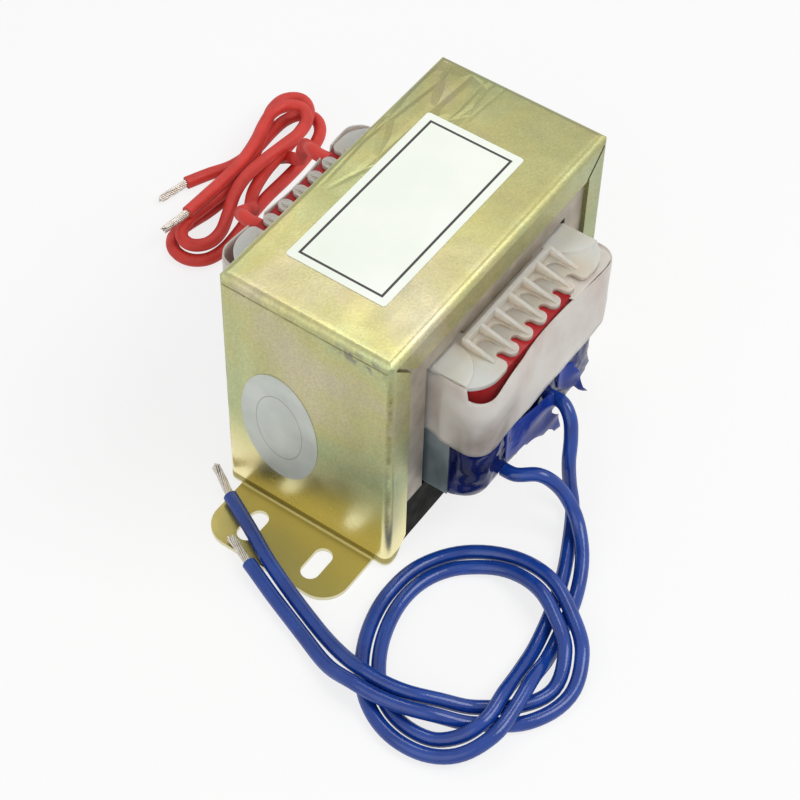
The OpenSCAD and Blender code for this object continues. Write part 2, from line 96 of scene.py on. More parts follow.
BLUE_2 = [
    (-14, -35.9, 17), (-14, -39.5, 17.5), (-11.5, -43.5, 18), (-9.5, -47.5, 15.7),
    (-8.5, -51.5, 10.5), (-10.5, -56, 6), (-17, -61.3, 3.4), (-26, -65.2, 1.8),
    (-35.5, -67.4, 1.8), (-44, -68.9, 2), (-52, -69.9, 5.2), (-61, -71, 5.6), (-70, -70.9, 5.2),
    (-77.8, -66.4, 3), (-81.5, -58.5, 1.8), (-81.3, -49.5, 1.8), (-77.2, -41.2, 1.8),
    (-69.5, -34.5, 1.8), (-60, -30.2, 1.8), (-50, -28.6, 1.8), (-39.5, -30.3, 1.8),
    (-30.2, -36.9, 2), (-25.5, -47.8, 3.4), (-27, -59, 5.5), (-33.2, -68.9, 5.6),
    (-39.8, -75.5, 4.8), (-49.5, -78.5, 2), (-60.5, -74.5, 1.8), (-67.7, -65.4, 1.8),
    (-73, -57, 4.8), (-76.2, -48.5, 5.6), (-77.1, -38.5, 5.6), (-75.6, -29.5, 2.8),
    (-72, -20, 1.8), (-67.5, -8, 1.8), (-63.3, 3, 2.6)]
RED_1 = [
    (15, 35.9, 54.5), (15, 40.5, 54.5), (17.5, 44.5, 52), (22, 49, 46.5), (28, 54, 38),
    (34, 59, 29), (39.5, 63.5, 20), (44.3, 68, 12.4), (48.2, 72.5, 6.8), (49.6, 76.8, 3.8),
    (47.8, 80.6, 2), (43.6, 82.3, 1.8), (37, 82.2, 1.8), (30, 81.8, 1.8), (22, 82.5, 1.8),
    (15, 84, 1.8), (9.5, 84.2, 1.8), (5.9, 81.2, 1.8), (5.3, 76.2, 1.8), (8, 72.2, 1.8),
    (13, 70.6, 1.8), (20, 71, 1.8), (28, 72.3, 1.8), (36, 73, 1.8), (44, 73, 1.8),
    (52, 73.3, 1.8), (59, 74.3, 1.8), (65, 76.4, 1.8), (68.2, 80.3, 1.8), (67.2, 84.6, 1.8),
    (63, 86.9, 1.8), (57, 87.2, 1.8), (50, 86.7, 1.8), (44, 87, 1.8), (39, 88.2, 1.8),
    (33.4, 91, 2), (27, 93.8, 2.1)]
RED_2 = [
    (-12.5, 35.9, 54.5), (-12.5, 40.5, 54.5), (-10.5, 43.7, 52.5), (-6, 46.7, 47.5), (0, 50, 41),
    (6, 54, 33.5), (12, 58.5, 26), (18, 63.5, 18), (23, 68, 11.6), (27.8, 72, 7.4),
    (33.5, 75.2, 5.5), (41, 77, 5.4), (49, 77.7, 5.4), (56, 78.3, 5.4), (62, 79.3, 5.4),
    (67, 81.8, 5.4), (69.2, 86, 5.4), (66.6, 89.7, 5.4), (61.5, 90.2, 5.4), (56, 88.2, 5.4),
    (50, 85.6, 5.4), (43, 83.2, 5.4), (36, 81.8, 5.4), (28, 81.4, 5.4), (20, 82, 5.4),
    (13.5, 82.4, 5.4), (8.6, 80.6, 5.4), (7.4, 76.5, 5.4), (10.4, 73.2, 5.4), (15.5, 72.8, 5.6),
    (21, 74.6, 6.6), (27, 76.8, 8.2), (33.5, 77.8, 9), (41, 77.6, 9), (48.5, 76.8, 9),
    (55, 76.2, 9), (60.3, 77.4, 9), (63.4, 81, 9), (62, 85.2, 9), (57.5, 87, 9),
    (52, 86, 9), (46, 84, 9), (38.5, 82.4, 9), (30, 81.9, 9), (21.5, 82, 9), (13.5, 82.2, 9)]


def in_metres(points):
    return [Vector(p) * MM for p in points]


def tube(name, lines, width, smoothness):
    """Curve object of round section, width millimetres across, along each line of points.

    The handles are level where a line turns up or down, so that it dips no lower there.
    """
    data = bpy.data.curves.new(name, "CURVE")
    data.dimensions = "3D"
    data.bevel_depth = 1.0
    data.bevel_resolution = smoothness
    data.resolution_u = 6
    data.use_fill_caps = True
    for line in lines:
        spline = data.splines.new("BEZIER")
        spline.bezier_points.add(len(line) - 1)
        for k, (knot, place) in enumerate(zip(spline.bezier_points, line)):
            before, ahead = line[max(k - 1, 0)], line[min(k + 1, len(line) - 1)]
            way = (ahead - before).normalized()
            if (place.z - before.z) * (ahead.z - place.z) <= 0:
                way.z = 0
            knot.handle_left_type = knot.handle_right_type = "FREE"
            knot.co = place
            knot.handle_left = place - way * (place - before).length / 3
            knot.handle_right = place + way * (ahead - place).length / 3
            knot.radius = width * MM / 2
    piece = bpy.data.objects.new(name, data)
    scene.collection.objects.link(piece)
    return piece


def strands(name, start, end, seed):
    """Fine wires twisted together in two rings, splayed a little at their cut ends."""
    draw = random.Random(seed)
    start, end = Vector(start) * MM, Vector(end) * MM
    along = (end - start).normalized()
    side = along.orthogonal().normalized()
    over = along.cross(side)
    lines = []
    # Radius of each ring in millimetres, wires in it and the angle of the first
    for ring, count, phase in ((0.30, 5, 0.0), (0.82, 12, 0.4)):
        for k in range(count):
            angle = 2 * math.pi * k / count + phase
            reach = draw.uniform(0.93, 1.04)
            splay = draw.uniform(-0.12, 0.3)
            line = []
            for step in range(-1, 7):
                share = step / 6
                turn = angle + STRAND_TWIST * share
                out = MM * ring * (1 + splay * max(share, 0) ** 2 + draw.uniform(-0.04, 0.04))
                spot = start + (end - start) * share * reach
                line.append(spot + out * (math.cos(turn) * side + math.sin(turn) * over))
            lines.append(line)
    return tube(name, lines, STRAND, 2)


# Colour and number, route, where the bare strands end, seed of their twist, length of the
# insulation in metres and, for the red pair, the CAD solids of its hank
LEADS = (
    ("blue", 1, BLUE_1, (-45, 27, 2.4), 3, 0.331, []),
    ("blue", 2, BLUE_2, (-59.8, 11, 2.5), 5, 0.334, []),
    ("red", 1, RED_1, (18.5, 96, 1.4), 7, 0.246, ["red_hank", "red_lead_1_tail"]),
    ("red", 2, RED_2, (5, 83.6, 8.5), 9, 0.305, ["red_hank"]))

for colour, number, route, strands_end, seed, length, coiled in LEADS:
    node = f"{colour}_lead_{number}"
    lead = tube(f"{colour}_{number}", [in_metres(route)], LEAD, 8)
    ends = strands(f"{colour}_{number}_strands", route[-1], strands_end, seed)
    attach(lead, "root")
    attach(ends, "root")
    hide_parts(node, *coiled)
    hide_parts(node + "_strands")


# ---------------------------------------------------------------- films and tapes

def shown(name, mesh_maker):
    """Object of a finished bmesh, in the scene and riding on the part."""
    data = bpy.data.meshes.new(name)
    mesh_maker.to_mesh(data)
    mesh_maker.free()
    piece = bpy.data.objects.new(name, data)
    scene.collection.objects.link(piece)
    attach(piece, "root")
    return piece


def band(outline, base, top, rows, place):
    """A band of so many rows of faces that stands on an outline in plan, from base to top.

    place gives each corner its final place from its place on the straight band.
    """
    maker = bmesh.new()
    corners = [maker.verts.new((x, y, base)) for x, y in outline]
    edges = [maker.edges.new((corners[k - 1], corners[k])) for k in range(len(corners))]
    for row in range(1, rows + 1):
        height = base + (top - base) * row / rows
        grown = bmesh.ops.extrude_edge_only(maker, edges=edges)["geom"]
        fresh = {g for g in grown if isinstance(g, bmesh.types.BMVert)}
        for v in fresh:
            v.co.z = height
        edges = [g for g in grown
                 if isinstance(g, bmesh.types.BMEdge) and fresh.issuperset(g.verts)]
    for v in maker.verts:
        v.co = place(v.co)
    bmesh.ops.recalc_face_normals(maker, faces=maker.faces)
    return maker


def rounded_outline(hx, hy, r, step):
    """Points round a rectangle with round corners, about a step apart along its sides."""
    arc_steps = 8
    points = []
    for sx, sy, first in ((1, 1, 0), (-1, 1, 90), (-1, -1, 180), (1, -1, 270)):
        for k in range(arc_steps + 1):
            a = math.radians(first + 90 * k / arc_steps)
            points.append(((hx - r) * sx + r * math.cos(a), (hy - r) * sy + r * math.sin(a)))
    full = []
    for k, point in enumerate(points):
        ahead = points[(k + 1) % len(points)]
        gap = math.dist(point, ahead)
        parts = max(1, round(gap / step))
        for j in range(parts):
            full.append(tuple(point[i] + (ahead[i] - point[i]) * j / parts for i in (0, 1)))
    return full


# Half the depth of the stack of laminations
STACK_Y = 22.5
# The white film: heights of its edges, half its outline, its half length where it bulges,
# its corner radius, and how far its ends bow inwards along the upper edge
WRAP_BASE, WRAP_TOP = 36.107, 56.507
WRAP_X, WRAP_Y, WRAP_BULGE, WRAP_R, WRAP_BOW = 27.4, 38.2, 28.5, 5.0, 1.6
# Its edge stands up behind this Y beside the corner pad
PAD_SIDE_Y, PAD_SIDE_RISE = -33.1, 1.3
# It is cut this much lower across the front, up to this X
FRONT_CUT, FRONT_CUT_END = 2.2, -16.0
# Radius of its notch round each red lead
NOTCH_R = 2.3
# Its front and back faces lie beyond this Y, and bow inwards over this half length
FACE_Y, BOW_X = 30, 24


def ridged(spot, size, seed):
    """Noise with sharp folds, from 0 to 1; size is the width of a fold in millimetres."""
    return 1 - abs(noise.noise(spot / size + Vector((seed, seed, seed)))) * 2


def clamped(share):
    return min(max(share, 0), 1)


def eased(share):
    """Smooth step from 0 to 1."""
    share = clamped(share)
    return share * share * (3 - 2 * share)


def wrap_edge(x, y):
    """Height of the film's upper edge.

    It stands up beside the pad at one corner, is cut low across the front next to it, and
    has a round notch for each red lead at the back.
    """
    edge = WRAP_TOP
    if PAD_SIDE_Y < y < -STACK_Y and x < 0:
        edge += PAD_SIDE_RISE * eased((-STACK_Y - y) / 3)
    elif y <= PAD_SIDE_Y:
        edge -= FRONT_CUT * eased((FRONT_CUT_END - x) / 12)
    for lead_x in (RED_1[0][0], RED_2[0][0]):
        aside = abs(x - lead_x) / NOTCH_R
        if y > FACE_Y and aside < 1:
            edge = RED_1[0][2] - NOTCH_R * math.sqrt(1 - aside * aside)
    return edge


def wrap_place(co):
    """The white film: bulged clear of the coil at both ends, drawn in along its upper edge."""
    x, y, z = co
    u = (z - WRAP_BASE) / (WRAP_TOP - WRAP_BASE)
    z = WRAP_BASE + (wrap_edge(x, y) - WRAP_BASE) * u
    beyond = clamped((abs(y) - STACK_Y) / 4)
    bulge = (WRAP_BULGE - WRAP_X) * beyond * beyond
    if x < 0:
        bulge *= 1 - 0.6 * u ** 3
    x += math.copysign(bulge, x) if abs(x) > 20 else 0
    if abs(y) > FACE_Y and abs(x) < BOW_X:
        share = math.cos(math.pi / 2 * abs(x) / BOW_X)
        y -= math.copysign(WRAP_BOW * u * u * share * share, y)
    spot = Vector((x, y, z))
    # Folds 14 mm wide and 0.22 mm deep over a finer unevenness
    dent = 0.22 * (ridged(spot, 14, 2.0) - 0.6) * beyond + 0.08 * noise.noise(spot / 5)
    out = Vector((x / 30 if abs(x) > BOW_X else 0, y / 38 if abs(y) > FACE_Y else 0, 0))
    return (spot + out * dent * min(1, beyond + 0.05)) * MM


def make_film(piece, node, thickness):
    """Shades a sheet smoothly, gives it a thickness in millimetres and hides the CAD node that it
    replaces.
    """
    for face in piece.data.polygons:
        face.use_smooth = True
    piece.modifiers.new("film", "SOLIDIFY").thickness = thickness * MM
    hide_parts(node)


outline = rounded_outline(WRAP_X, WRAP_Y, WRAP_R, 0.7)
maker = band(outline, WRAP_BASE, WRAP_TOP, 14, wrap_place)
make_film(shown("white_wrap", maker), "coil_wrap", 0.35)

# The blue tape: half its outline, its corner radius and the heights of its edges
COIL_X, COIL_Y, COIL_R = 27.0, 35.9, 6.5
TAPE_BASE, TAPE_TOP = 16.207, 35.957
# Its thickness, drawn so that its cut edges show
TAPE = 0.12
# The window liners end at this Y
LINER_Y = 29.2


def tape_place(co):
    """The blue tape: tight between the legs of the core, crumpled outside them."""
    spot = Vector(co)
    x, y, z = spot
    beyond = clamped((abs(y) - LINER_Y) / 2)
    # Broad ridges and finer ones between them; the lower edge is drawn in flat
    crumple = 0.6 * ridged(spot, 11, 5.0) ** 3 + 0.25 * ridged(spot, 4.5, 9.0) ** 2
    low = clamped((z - TAPE_BASE) / 2.5)
    out = Vector((x / 27 if abs(x) > 21 else 0, y / 36 if abs(y) > FACE_Y else 0, 0))
    return (spot + out * beyond * (0.1 + crumple * low - 0.5 * (1 - low))) * MM


outline = rounded_outline(COIL_X, COIL_Y, COIL_R, 0.9)
maker = band(outline, TAPE_BASE, TAPE_TOP, 22, tape_place)
make_film(shown("blue_tape", maker), "secondary_tape", TAPE)


def cut_sheet(outline, place):
    """A flat sheet inside an outline, cut into 1 mm squares, each corner then put in place."""
    maker = bmesh.new()
    maker.faces.new([maker.verts.new((across, up, 0)) for across, up in outline])
    for way in (Vector((1, 0, 0)), Vector((0, 1, 0))):
        reach = [way.dot(v.co) for v in maker.verts]
        for k in range(1, int(max(reach) - min(reach)) + 1):
            bmesh.ops.bisect_plane(
                maker, geom=maker.verts[:] + maker.edges[:] + maker.faces[:],
                plane_co=way * (min(reach) + k), plane_no=way)
    for v in maker.verts:
        v.co = place(v.co.x, v.co.y) * MM
    return maker


def torn_tail(name, node, plan, outline, seed):
    """Torn end of tape: an outline in X and Z on a line in plan that leaves the coil.

    The second and third sides of the outline are torn, and the others are nearly straight.
    """
    draw = random.Random(seed)
    ragged = []
    for k, (x, z) in enumerate(outline):
        ahead = outline[(k + 1) % len(outline)]
        ragged.append((x, z))
        wide, shares = (0.7, (0.2, 0.35, 0.5, 0.68, 0.84)) if k in (1, 2) else (0.15, (0.5,))
        for share in shares:
            ragged.append((x + (ahead[0] - x) * share + draw.uniform(-wide, wide),
                           z + (ahead[1] - z) * share + draw.uniform(-wide, wide)))

    def leaving(x, z):
        y = plan[-1][1]
        for a, b in zip(plan, plan[1:]):
            if x <= b[0]:
                y = a[1] + (b[1] - a[1]) * max(0, (x - a[0]) / (b[0] - a[0]))
                break
        lift = clamped((plan[1][1] - y) / 2)
        ripple = 0.9 * noise.noise(Vector((x, y, z)) / 5 + Vector((seed, 0, 0))) * lift
        # 0.75 mm clear of the line, in front of the crumpled tape
        return Vector((x + ripple * 0.4, y - 0.75 - 0.3 * abs(ripple) + ripple * lift, z))

    make_film(shown(name, cut_sheet(ragged, leaving)), node, TAPE)


torn_tail("tape_end_upper", "tape_tail_upper", [(7, -35.9), (9.5, -35.9), (19, -39.5)],
          [(7.3, 29), (8.2, 25.5), (17.4, 18.2), (12.3, 32.8), (7.3, 33.8)], 4)
torn_tail("tape_end_lower", "tape_tail_lower", [(-17, -35.9), (-13, -35.9), (8, -38.4)],
          [(-15.5, 33), (-14.5, 20.6), (-4, 19.5), (6.6, 14.6), (5.2, 20.8), (2.6, 23.5),
           (2.4, 31.5)], 11)

# The lap of the white film: its corner nearest to the middle of the coil, and its height
LAP_X, LAP_Y, LAP_Z = 10.5, -29.0, 56.45
lap_outline = [(LAP_X, LAP_Y), (LAP_X - 1.4, -33.4), (LAP_X - 0.6, -37.2), (15, -37.35),
               (19, -37.5), (23, -37.7), (25.8, -37.3), (27.2, -36), (28.0, -34.5), (28.1, -33),
               (28.1, LAP_Y)]


def lap_place(x, y):
    """The film's first end: folded down over the coil, up again where it meets the wrap."""
    edge = clamped((-y - 35.2) / 2.2)
    return Vector((x, y, LAP_Z + 0.12 * noise.noise(Vector((x, y, 0)) / 4) + 0.2 * edge))


make_film(shown("film_lap", cut_sheet(lap_outline, lap_place)), "coil_wrap", 0.2)


# ---------------------------------------------------------------- finishes

def linear(colour):
    """An sRGB hex colour as linear red, green, blue and alpha."""
    parts = [int(colour[i:i + 2], 16) / 255 for i in (1, 3, 5)]
    return [p / 12.92 if p <= 0.04045 else ((p + 0.055) / 1.055) ** 2.4 for p in parts] + [1]


def add(owner, kind, inputs=(), stops=(), **settings):
    """Adds a node to a material or world, with its settings, ramp stops and inputs.

    inputs pairs a socket's name, or its number among the sockets in use, with a value,
    a socket or a node whose first output goes in.
    """
    node = owner.node_tree.nodes.new("ShaderNode" + kind)
    for key, value in settings.items():
        setattr(node, key, value)
    for k, (place, colour) in enumerate(stops):
        ramp = node.color_ramp.elements
        stop = ramp[k] if k < 2 else ramp.new(place)
        stop.position, stop.color = place, linear(colour)
    for key, value in dict(inputs).items():
        used = [s for s in node.inputs if s.enabled]
        socket = used[key] if isinstance(key, int) else next(s for s in used if s.name == key)
        if isinstance(value, bpy.types.Node):
            value = next(s for s in value.outputs if s.enabled)
        if isinstance(value, bpy.types.NodeSocket):
            owner.node_tree.links.new(value, socket)
        else:
            socket.default_value = value
    return node


def finish_named(name):
    """An empty material and its Object coordinates."""
    mat = bpy.data.materials.new(name)
    mat.use_nodes = True
    mat.node_tree.nodes.clear()
    return mat, add(mat, "TexCoord").outputs["Object"]


def surface(mat, **inputs):
    """Closes a material with one principled shader; underscores stand for spaces."""
    shader = add(mat, "BsdfPrincipled", {k.replace("_", " "): v for k, v in inputs.items()})
    add(mat, "OutputMaterial", {"Surface": shader})
    return mat


def within(mat, value, low, high, soft):
    """Mask that is 1 where the value lies between low and high, in millimetres."""
    rise = add(mat, "MapRange", {"Value": value, "From Min": (low - soft) * MM,
                                 "From Max": (low + soft) * MM})
    fall = add(mat, "MapRange", {"Value": value, "From Min": (high + soft) * MM,
                                 "From Max": (high - soft) * MM})
    return add(mat, "Math", {0: rise, 1: fall}, operation="MULTIPLY")


def product(mat, *factors):
    """All the factors multiplied together."""
    result = factors[0]
    for factor in factors[1:]:
        result = add(mat, "Math", {0: result, 1: factor}, operation="MULTIPLY")
    return result


def grains(mat, coord, size, detail=2.0, low=0.0, high=1.0, stretch=None):
    """Noise whose features are size millimetres wide, from low to high."""
    if stretch:
        coord = add(mat, "Mapping", {"Vector": coord, "Scale": stretch})
    cloud = add(mat, "TexNoise", {"Vector": coord, "Scale": 1 / (size * MM), "Detail": detail})
    return add(mat, "MapRange", {"Value": cloud, "From Min": 0.3, "From Max": 0.7,
                                 "To Min": low, "To Max": high})


def wave_scale(apart):
    """Scale of a wave texture whose bands are so many millimetres apart."""
    return math.pi / 10 / (apart * MM)


# The bracket in millimetres: its top, and half its length and depth without the feet
TOP, SIDE, FRONT = 74.5, 44.2, 23.7


def bath_tint(mat, coord, on_top, x, y):
    """The colour of the film, olive, gold and rose in broad clouds, and the sheet's spangle, with
    painted shade on the top plate and towards one end and painted highlights along two folds.
    """
    clouds = add(mat, "TexNoise", {"Vector": coord, "Scale": 26, "Detail": 5, "Distortion": 0.6})
    tint = add(mat, "ValToRGB", {"Fac": clouds}, stops=(
        (0.30, "#a5ad7a"), (0.42, "#b1b88a"), (0.52, "#b9b580"), (0.60, "#bcb494"),
        (0.72, "#b0ae95")))
    # Runs of the bath down the side plates, about 6 mm apart
    runs = grains(mat, coord, 6, 2, 0.94, 1.04, stretch=(1, 1, 0.14))
    # Spangle of the rolled sheet, drawn at 0.6 mm so that it shows
    spangle = grains(mat, coord, 0.6, 3, 0.88, 1.10)
    # Painted shade: the top plate is drawn darker than the sides except along two folds, which keep
    # a painted highlight, and one end is painted darker
    painted_fold_highlight = add(mat, "Math", {0: within(mat, x, -SIDE - 0.8, -SIDE + 2.4, 0.8),
                             1: within(mat, y, -FRONT - 0.3, -FRONT + 2.5, 0.8)},
               operation="MAXIMUM")
    top = add(mat, "MapRange", {"Value": painted_fold_highlight, "To Min": 0.74, "To Max": 1.0})
    dull = add(mat, "Mix", {"Factor": on_top, "A": 1.0, "B": top})
    painted_end_shade = add(mat, "MapRange", {"Value": x, "From Min": -30 * MM, "From Max": 45 * MM,
                                    "To Min": 1.04, "To Max": 0.84})
    bright = product(mat, runs, spangle, dull, painted_end_shade)
    colour = add(mat, "Mix", {"Factor": 1.0, "A": tint, "B": bright}, data_type="RGBA",
                 blend_type="MULTIPLY")
    return colour, spangle


def painted_edge_highlight(mat, z):
    """Mask of the upright cut edges of the feet and their slots, where a highlight is painted."""
    normal = add(mat, "NewGeometry").outputs["Normal"]
    level = add(mat, "Math", {0: add(mat, "SeparateXYZ", {0: normal}).outputs[2]},
                operation="ABSOLUTE")
    upright = add(mat, "MapRange", {"Value": level, "From Min": 0.5, "From Max": 0.2,
                                    "To Max": 0.8})
    return product(mat, within(mat, z, -1, 1.25, 0.1), upright)


def rub_marks(mat, coord, far_x, x, y, z):
    """Mask of faint rubbing along the upper folds and one worn patch at the front corner."""
    folds = product(mat, within(mat, z, TOP - 3, TOP + 0.5, 0.8),
                    within(mat, far_x, SIDE - 3.2, SIDE + 0.8, 1.2), 0.2)
    worn = product(mat, within(mat, z, TOP - 4.7, TOP - 1.1, 0.9),
                   within(mat, y, -21, -9, 2.5), within(mat, x, -SIDE - 1.8, -SIDE + 1.2, 0.3), 0.9)
    blotch = add(mat, "MapRange", {"Value": grains(mat, coord, 2.5, 4), "From Min": 0.40,
                                   "From Max": 0.65})
    return product(mat, add(mat, "Math", {0: folds, 1: worn}, operation="MAXIMUM"), blotch)


def crease_shade_and_corner_stain(mat, coord, far_x, far_y, z):
    """Mask of a line of painted shade in the crease under the top fold, and of what the bath left
    down the corners.
    """
    ragged = grains(mat, coord, 3.5, 4)
    crease = product(mat, within(mat, z, TOP - 2.8, TOP - 2.4, 0.25),
                     within(mat, far_x, SIDE - 0.2, SIDE + 0.8, 0.1),
                     add(mat, "MapRange", {"Value": ragged, "From Max": 0.7, "To Min": 0.35,
                                           "To Max": 0.9}))
    corner = product(mat, within(mat, far_x, SIDE - 1, SIDE + 0.3, 0.35),
                     within(mat, far_y, FRONT - 1.1, FRONT + 0.3, 0.35),
                     within(mat, z, 12, TOP - 2.5, 6), 0.7,
                     add(mat, "MapRange", {"Value": ragged, "From Min": 0.2, "From Max": 1.0,
                                           "To Max": 0.9}))
    return add(mat, "Math", {0: crease, 1: corner}, operation="MAXIMUM")


def pressed_creases(mat, coord, x, y, z):
    """Long creases in the top near one corner: edges of cells drawn out to 50 mm."""
    lines = None
    for turn, size in ((0.35, 11), (1.0, 15), (-0.45, 13)):
        cells = add(mat, "TexVoronoi", {
            "Vector": add(mat, "Mapping", {"Vector": coord, "Rotation": (0, 0, turn),
                                           "Scale": (0.25, 1, 1)}),
            "Scale": 1 / (size * MM)}, feature="DISTANCE_TO_EDGE")
        thin = add(mat, "MapRange", {"Value": cells, "From Min": 0.05, "From Max": 0.0})
        lines = add(mat, "Math", {0: lines, 1: thin}, operation="MAXIMUM") if lines else thin
    return product(mat, lines, within(mat, x, 0, 60, 12), within(mat, y, 8, 40, 6),
                   within(mat, z, TOP - 0.5, TOP + 1.5, 0.2))


def chromated_steel():
    """Zinc-plated sheet with yellow chromate: the film interferes with the light, so olive, gold
    and rose drift across it in clouds; handling leaves dull marks at the folds, and the bath brown
    stains down the corners. Shade is painted on the top plate, one end, the feet and in the crease
    under the top fold, highlights are painted on two folds and the cut edges, and a reflection of
    the feet is painted low on the side plates."""
    mat, coord = finish_named("yellow_chromated_steel")
    x, y, z = add(mat, "SeparateXYZ", {0: coord}).outputs
    far_x = add(mat, "Math", {0: x}, operation="ABSOLUTE")
    far_y = add(mat, "Math", {0: y}, operation="ABSOLUTE")
    on_top = within(mat, z, TOP - 0.3, TOP + 1.5, 0.25)
    on_foot = within(mat, z, -1, 3.3, 0.15)
    colour, spangle = bath_tint(mat, coord, on_top, x, y)
    # A line of painted shade in the crease under the top fold, and brown stain down the corners
    stain = crease_shade_and_corner_stain(mat, coord, far_x, far_y, z)
    # Painted reflection of the feet: lighter and yellower towards the foot
    low = add(mat, "MapRange", {"Value": z, "From Min": 30 * MM, "From Max": 8 * MM,
                                "To Max": 0.9})
    # A few specks up to 1 mm wide, and black grains caught in the creases
    speck = add(mat, "TexVoronoi", {"Vector": coord, "Scale": 55})
    speck = add(mat, "MapRange", {"Value": speck, "From Min": 0.028, "From Max": 0.018,
                                  "To Max": 0.75})
    grit = product(mat, stain, add(mat, "MapRange", {"Value": grains(mat, coord, 1.6, 3),
                                                     "From Min": 0.8, "From Max": 1.0}))
    marks = (
        # Gold patches on the top plate, about 15 mm across
        (product(mat, on_top, grains(mat, coord, 15, 4, 0, 0.4)), "#a89c5e"),
        # Painted reflection of the feet low on the side plates
        (low, "#fbf0b4"),
        # Painted shade: the feet are drawn darker
        (product(mat, on_foot, 0.85), "#948746"),
        # Painted highlight along the upright cut edges of the feet and slots
        (painted_edge_highlight(mat, z), "#e4dfc2"),
        (rub_marks(mat, coord, far_x, x, y, z), "#86857a"),
        # Brown stain down the corners, and a line of painted shade in the crease under the top fold
        (stain, "#6e6034"),
        (add(mat, "Math", {0: grit, 1: speck}, operation="MAXIMUM"), "#26251a"))
    for share, hue in marks:
        colour = add(mat, "Mix", {"Factor": share, "A": colour, "B": linear(hue)},
                     data_type="RGBA")
    # The spangle and the creases in the top, then a slow wave in the sheet 16 mm across
    pressed = product(mat, pressed_creases(mat, coord, x, y, z), 5.0)
    height = add(mat, "Math", {0: spangle, 1: pressed}, operation="SUBTRACT")
    bump = add(mat, "Bump", {"Height": height, "Strength": 0.6, "Distance": 0.07 * MM})
    bump = add(mat, "Bump", {"Height": grains(mat, coord, 16, 2), "Strength": 0.3,
                             "Distance": 0.35 * MM, "Normal": bump})
    # Rolled smoother near the foot, duller above
    rough = add(mat, "MapRange", {"Value": z, "From Min": 12 * MM, "From Max": 26 * MM,
                                  "To Min": 0.27, "To Max": 0.40})
    rough = add(mat, "Mix", {"Factor": on_top, "A": rough, "B": 0.34})
    rough = add(mat, "Mix", {"Factor": on_foot, "A": rough, "B": 0.42})
    rough = product(mat, rough, grains(mat, coord, 9, 3, 0.88, 1.15))
    rough = add(mat, "Math", {0: rough, 1: product(mat, stain, 0.3)}, operation="ADD")
    return surface(mat, Base_Color=colour, Metallic=1.0, Roughness=rough, Normal=bump)


def varnished_sheets(name, face, stained, metallic, shine):
    """Silicon-steel sheets 0.5 mm thick, dipped in varnish: satin on the face, with a dark line
    between one sheet and the next on every edge. The colour paints light and shade in: brown-grey
    lightened with painted light for the core, almost black with painted shade for the yoke."""
    mat, coord = finish_named(name)
    stain = grains(mat, coord, 7, 3)
    colour = add(mat, "Mix", {"Factor": stain, "A": linear(face), "B": linear(stained)},
                 data_type="RGBA")
    # Drawn with a line every 2 mm so that the lines show
    sheets = add(mat, "TexWave", {"Vector": coord, "Scale": wave_scale(2)}, bands_direction="Y")
    gap = add(mat, "MapRange", {"Value": sheets, "From Min": 0.3, "From Max": 0.0,
                                "To Max": 0.8})
    normal = add(mat, "NewGeometry").outputs["Normal"]
    across = add(mat, "Math", {0: add(mat, "SeparateXYZ", {0: normal}).outputs[1]},
                 operation="ABSOLUTE")
    on_edge = add(mat, "MapRange", {"Value": across, "From Min": 0.6, "From Max": 0.4})
    colour = add(mat, "Mix", {"Factor": product(mat, gap, on_edge), "A": colour,
                              "B": linear("#171512")}, data_type="RGBA")
    bump = add(mat, "Bump", {"Height": grains(mat, coord, 1.5, 3), "Strength": 0.25,
                             "Distance": 0.05 * MM})
    return surface(mat, Base_Color=colour, Metallic=metallic, Normal=bump,
                   Specular_IOR_Level=shine, Roughness=grains(mat, coord, 4, 2, 0.42, 0.6))


def milky_plastic():
    """Natural nylon, injection moulded: milky and translucent, slightly uneven in the thick
    parts, with a satin skin from the mould."""
    mat, coord = finish_named("moulded_nylon")
    x, y, z = add(mat, "SeparateXYZ", {0: coord}).outputs
    colour = add(mat, "Mix", {"Factor": grains(mat, coord, 9, 2), "A": linear("#f8edda"),
                              "B": linear("#fcf8ef")}, data_type="RGBA")
    # Warmer between the fingers, where the winding shines through
    warm = product(mat, within(mat, x, -20, 20, 2), within(mat, z, 54, 58.6, 0.8),
                   grains(mat, coord, 6, 2, 0.3, 1.0))
    colour = add(mat, "Mix", {"Factor": warm, "A": colour, "B": linear("#f3dcc6")},
                 data_type="RGBA")
    bump = add(mat, "Bump", {"Height": grains(mat, coord, 1.2, 2), "Strength": 0.2,
                             "Distance": 0.04 * MM})
    return surface(mat, Base_Color=colour, Roughness=0.27, IOR=1.53,
                   Transmission_Weight=0.3, Subsurface_Weight=0.8, Subsurface_Scale=5 * MM,
                   Subsurface_Radius=(1.0, 0.85, 0.75), Normal=bump)


